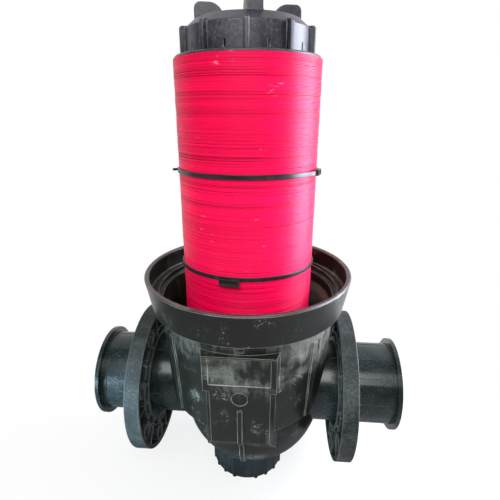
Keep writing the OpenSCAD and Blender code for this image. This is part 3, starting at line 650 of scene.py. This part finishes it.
print("strip", round(STRAP_W / MM, 1), "by", round(STRAP_T / MM, 1), "mm")

# %% Block and free end of a tie
BLOCK_ROUND = 0.7 * MM
WINDOW_FRAME = 1.6 * MM
# Slope and depth of the window, as shares of its frame.
WINDOW_SLOPE, WINDOW_DEPTH = 0.25, 0.9
TAIL_SHARE = 0.62
TIE_SHARP_FROM = math.radians(35)


def block(work, centre, out, side, up, size, window):
    """Rounded box, with a sunk window on its outer face where window gives the frame's width."""
    made = bmesh.ops.create_cube(work, size=1.0)["verts"]
    turn = Matrix((out, side, up)).transposed().to_4x4()
    place = Matrix.Translation(centre) @ turn @ Matrix.Diagonal((*size, 1.0))
    bmesh.ops.transform(work, matrix=place, verts=made)
    faces = list({f for v in made for f in v.link_faces})
    front = max(faces, key=lambda f: f.calc_center_median().dot(out))
    if window:
        bmesh.ops.inset_region(work, faces=[front], thickness=window, depth=0.0)
        bmesh.ops.inset_region(work, faces=[front], thickness=WINDOW_SLOPE * window,
                               depth=-WINDOW_DEPTH * window)
    edges = [e for e in work.edges if e.is_valid and all(v in made for v in e.verts)]
    bmesh.ops.bevel(work, geom=edges, offset=BLOCK_ROUND, segments=3, profile=0.6, affect="EDGES")


def free_end(work, z, droop, tail_angle, tail_len, spring):
    """The strip's end, which springs off the stack."""
    angle, spring = math.radians(tail_angle), math.radians(spring)
    up, out = Vector((0, 0, 1)), on_stack(angle, 1.0, 0.0)
    root = on_stack(angle, STRAP_R + STRAP_T / 2, z + droop * math.cos(angle))
    along = (out * math.cos(spring) + up.cross(out) * math.sin(spring)).normalized()
    block(work, root + along * tail_len / 2, along, up.cross(along), up,
          (tail_len, STRAP_T, STRAP_W * TAIL_SHARE), 0)


def tie(piece_name, node, z, droop, head_angle, head_size, head_drop, lift, tail=None):
    """A strip with its block at head_angle degrees from the front, and a free end where tail is given."""
    work = bmesh.new()
    angle = math.radians(head_angle)
    out, up = on_stack(angle, 1.0, 0.0), Vector((0, 0, 1))
    strip_ring(work, z, droop, angle, lift)
    head_z = z + droop * math.cos(angle) - head_drop
    seat = on_stack(angle, STRAP_R + STRAP_T / 2 + head_size[0] / 2, head_z)
    block(work, seat, out, up.cross(out), up, head_size, WINDOW_FRAME)
    if tail:
        free_end(work, z, droop, **tail)
    mesh = bpy.data.meshes.new(piece_name)
    work.to_mesh(mesh)
    work.free()
    mesh.materials.append(tie_finish)
    mesh.shade_smooth()
    mesh.set_sharp_from_angle(angle=TIE_SHARP_FROM)
    piece = bpy.data.objects.new(piece_name, mesh)
    bpy.context.scene.collection.objects.link(piece)
    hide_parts(node)
    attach(piece, "cartridge")
    print(piece_name, len(mesh.polygons), "faces")


tie("upper_strip_tie", "upper_tie", tie_heights[1], droop=2.5 * MM, head_angle=73,
    head_size=(5.0 * MM, 14.0 * MM, 7.0 * MM), head_drop=0.0, lift=3.2 * MM,
    tail={"tail_angle": -82, "tail_len": 8.0 * MM, "spring": 35})
tie("lower_strip_tie", "lower_tie", tie_heights[0], droop=4.6 * MM, head_angle=-9,
    head_size=(5.0 * MM, 24.0 * MM, 8.5 * MM), head_drop=3.5 * MM, lift=0.6 * MM)

# %% [markdown]
# ## Floor and surroundings
#
# The filter stands on a pale matt floor in front of white. For the camera the floor fades to plain white away
# from the object, so that no horizon shows, and close to the object a share of it stays an ordinary matt
# surface that keeps the soft shadow. Plastic mirrors its surroundings, so these count too: they are white
# behind the object and dim in front of it, as in a photo room, which keeps black plastic black. A studio
# hangs up a paper sweep for this; here the Light Path node does it with one disc and the world.

# %% Floor
FLOOR_R = 12.0
FLOOR_SIDES = 64
SPECKLE_MM = 60
FLOOR_LOW, FLOOR_HIGH = 0.86, 0.90
FLOOR_MIRRORED = 0.25
BACK_FROM, BACK_FULL = 0.0, 0.5
FADE_FROM, FADE_FULL, FADE_LEAST = 0.10, 0.55, 0.72
WHITE = (1, 1, 1, 1)


def pale_floor(name):
    """Matt floor that fades to white for the camera and, behind the object, in reflections."""
    finish, tree = new_finish(name)
    place = add(tree, "ShaderNodeTexCoord").outputs["Object"]
    path = add(tree, "ShaderNodeLightPath")
    speckle = add(tree, "ShaderNodeTexNoise", {"Vector": place, "Scale": per_mm(SPECKLE_MM), "Detail": 3})
    shade = add(tree, "ShaderNodeMapRange",
                {"Value": speckle.outputs["Fac"], "To Min": FLOOR_LOW, "To Max": FLOOR_HIGH})
    axis = add(tree, "ShaderNodeSeparateXYZ", {0: place})
    behind = add(tree, "ShaderNodeMapRange",
                 {"Value": axis.outputs["Y"], "From Min": BACK_FROM, "From Max": BACK_FULL})
    level = add(tree, "ShaderNodeMapRange",
                {"Value": behind.outputs[0], "To Min": FLOOR_MIRRORED, "To Max": 1.0})
    mirrored = add(tree, "ShaderNodeMapRange",
                   {"Value": path.outputs["Is Glossy Ray"], "To Min": 1.0, "To Max": level.outputs[0]})
    muted = add(tree, "ShaderNodeMath", {0: shade.outputs[0], 1: mirrored.outputs[0]}, operation="MULTIPLY")
    matt = add(tree, "ShaderNodeBsdfDiffuse", {"Color": muted.outputs[0]})
    white = add(tree, "ShaderNodeEmission", {"Color": WHITE, "Strength": 1.0})
    reach = add(tree, "ShaderNodeVectorMath", {0: place}, operation="LENGTH")
    far = add(tree, "ShaderNodeMapRange",
              {"Value": reach.outputs["Value"], "From Min": FADE_FROM, "From Max": FADE_FULL,
               "To Min": FADE_LEAST, "To Max": 1.0}, interpolation_type="SMOOTHSTEP")
    seen = add(tree, "ShaderNodeMath",
               {0: path.outputs["Is Camera Ray"], 1: path.outputs["Is Transmission Ray"]},
               operation="MAXIMUM")
    backed = add(tree, "ShaderNodeMath", {0: path.outputs["Is Glossy Ray"], 1: behind.outputs[0]},
                 operation="MULTIPLY")
    shown = add(tree, "ShaderNodeMath", {0: seen.outputs[0], 1: backed.outputs[0]}, operation="MAXIMUM")
    share = add(tree, "ShaderNodeMath", {0: shown.outputs[0], 1: far.outputs[0]}, operation="MULTIPLY")
    both = add(tree, "ShaderNodeMixShader", {0: share.outputs[0], 1: matt.outputs[0], 2: white.outputs[0]})
    add(tree, "ShaderNodeOutputMaterial", {"Surface": both.outputs[0]})
    return finish


floor_mesh = bpy.data.meshes.new("pale_floor")
floor_work = bmesh.new()
bmesh.ops.create_circle(floor_work, cap_ends=True, segments=FLOOR_SIDES, radius=FLOOR_R)
floor_work.to_mesh(floor_mesh)
floor_work.free()
# Matt pale floor, as of painted board: no gloss, so it shows only the soft shadow.
floor_mesh.materials.append(pale_floor("matt_pale_floor"))
floor = bpy.data.objects.new("pale_floor", floor_mesh)
bpy.context.scene.collection.objects.link(floor)
print("floor of", 2 * FLOOR_R, "m across")

# %% White surroundings
ROOM_LIGHT = 0.42
ROOM_MIRRORED = 0.10
SKY_BACK_FROM, SKY_BACK_FULL = 0.0, 0.4

world = bpy.data.worlds.new("white_studio")
bpy.context.scene.world = world
world.use_nodes = True
sky = world.node_tree
sky.nodes.clear()
rays = add(sky, "ShaderNodeLightPath")
shown = add(sky, "ShaderNodeMath",
            {0: rays.outputs["Is Camera Ray"], 1: rays.outputs["Is Transmission Ray"]}, operation="MAXIMUM")
towards = add(sky, "ShaderNodeSeparateXYZ", {0: add(sky, "ShaderNodeTexCoord").outputs["Generated"]})
backdrop = add(sky, "ShaderNodeMapRange",
               {"Value": towards.outputs["Y"], "From Min": SKY_BACK_FROM, "From Max": SKY_BACK_FULL,
                "To Min": ROOM_MIRRORED, "To Max": 1.0})
lit = add(sky, "ShaderNodeMapRange",
          {"Value": rays.outputs["Is Glossy Ray"], "To Min": ROOM_LIGHT, "To Max": backdrop.outputs[0]})
strength = add(sky, "ShaderNodeMath", {0: lit.outputs[0], 1: shown.outputs[0]}, operation="MAXIMUM")
studio = add(sky, "ShaderNodeBackground", {"Color": WHITE, "Strength": strength.outputs[0]})
add(sky, "ShaderNodeOutputWorld", {"Surface": studio.outputs[0]})
print("white surroundings, room light", ROOM_LIGHT)

# %% [markdown]
# ## Light
#
# One wide, cool window stands on the right and a little behind, and draws the pink sheen down the rings. A
# white sheet above and in front lights the faces that the camera sees. A small cool card, low on the left,
# has a narrow spread and is aimed at the left flange and its stub. Area lamps are used because they throw
# soft shadows, as windows do; point lamps would draw hard ones.

# %% Lamps
AIM = (0.0, 0.0, 0.30)
LEFT_FLANGE_AIM = (-0.17, 0.0, 0.12)


def soft_lamp(name, place, size, watts, tint, aim=AIM, spread=180):
    """Rectangular lamp that faces its aim; spread is in degrees."""
    lamp = bpy.data.lights.new(name, "AREA")
    lamp.shape = "RECTANGLE"
    lamp.size, lamp.size_y = size
    lamp.energy = watts
    lamp.color = linear(tint)[:3]
    lamp.spread = math.radians(spread)
    holder = bpy.data.objects.new(name, lamp)
    holder.location = place
    holder.rotation_euler = (Vector(aim) - Vector(place)).to_track_quat("-Z", "Y").to_euler()
    bpy.context.scene.collection.objects.link(holder)
    return holder


window = soft_lamp("window_right", (1.15, 0.22, 0.60), size=(0.8, 1.4), watts=58, tint="#E6EDFF")
sheet = soft_lamp("sheet_above", (-0.05, -1.20, 1.35), size=(1.2, 0.9), watts=25, tint="#FFFFFF")
bounce = soft_lamp("bounce_left", (-0.75, -0.65, 0.06), size=(0.30, 0.20), watts=1.3, tint="#B4DAF0",
                   aim=LEFT_FLANGE_AIM, spread=24)
print("lamps", [lamp.name for lamp in (window, sheet, bounce)])

# %% [markdown]
# ## Camera
#
# The camera stands where the photograph was taken from: close, a little to the right and well above the rim,
# looking down. Its place, direction and lens were fitted to the photograph's outlines. It could also be moved
# by hand over a background image, but written as numbers it comes out the same each time.

# %% Camera from the photograph's fit
EYE = Vector((43.4078, -498.2202, 533.3031)) * MM
LOOK = Vector((-0.07641233, 0.93882281, -0.33581674))
RIGHT = Vector((0.99666552, 0.08158527, 0.00130003))
UP = RIGHT.cross(LOOK)
LENS_PIXELS, FRAME_PIXELS, SENSOR_MM = 387.6106, 500, 36.0

camera_data = bpy.data.cameras.new("photo_view")
camera_data.sensor_fit = "HORIZONTAL"
camera_data.sensor_width = SENSOR_MM
camera_data.lens = LENS_PIXELS / FRAME_PIXELS * SENSOR_MM
camera_data.clip_start = 0.01
camera = bpy.data.objects.new("photo_view", camera_data)
camera.matrix_world = Matrix.Translation(EYE) @ Matrix((RIGHT, UP, -LOOK)).transposed().to_4x4()
bpy.context.scene.collection.objects.link(camera)
bpy.context.scene.camera = camera
bpy.context.scene.view_settings.view_transform = "Standard"
print("lens", round(camera_data.lens, 2), "mm")
